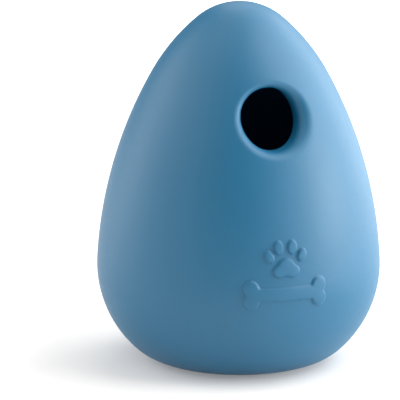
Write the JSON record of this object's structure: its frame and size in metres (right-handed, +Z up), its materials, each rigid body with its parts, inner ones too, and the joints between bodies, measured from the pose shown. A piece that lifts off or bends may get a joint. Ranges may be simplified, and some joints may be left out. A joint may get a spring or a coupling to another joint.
{
  "type": "dog enrichment toy",
  "caption": "Hollow egg-shaped soft rubber dog toy with a flat foot and one round treat port with a rolled lip; it stands upright and drops treats as it is rolled.",
  "frame": {"origin": "middle of the flat foot, on the surface that the toy stands on", "axes": "+Z up along the egg's axis to the crown, -Y out of the treat port, +X to the right when facing the port"},
  "size_m": [0.095, 0.095, 0.12],
  "materials": {
    "blue_rubber": "matte moulded natural rubber"
  },
  "bodies": {
    "root": {"egg_shell": "blue_rubber"}
  },
  "joints": []
}
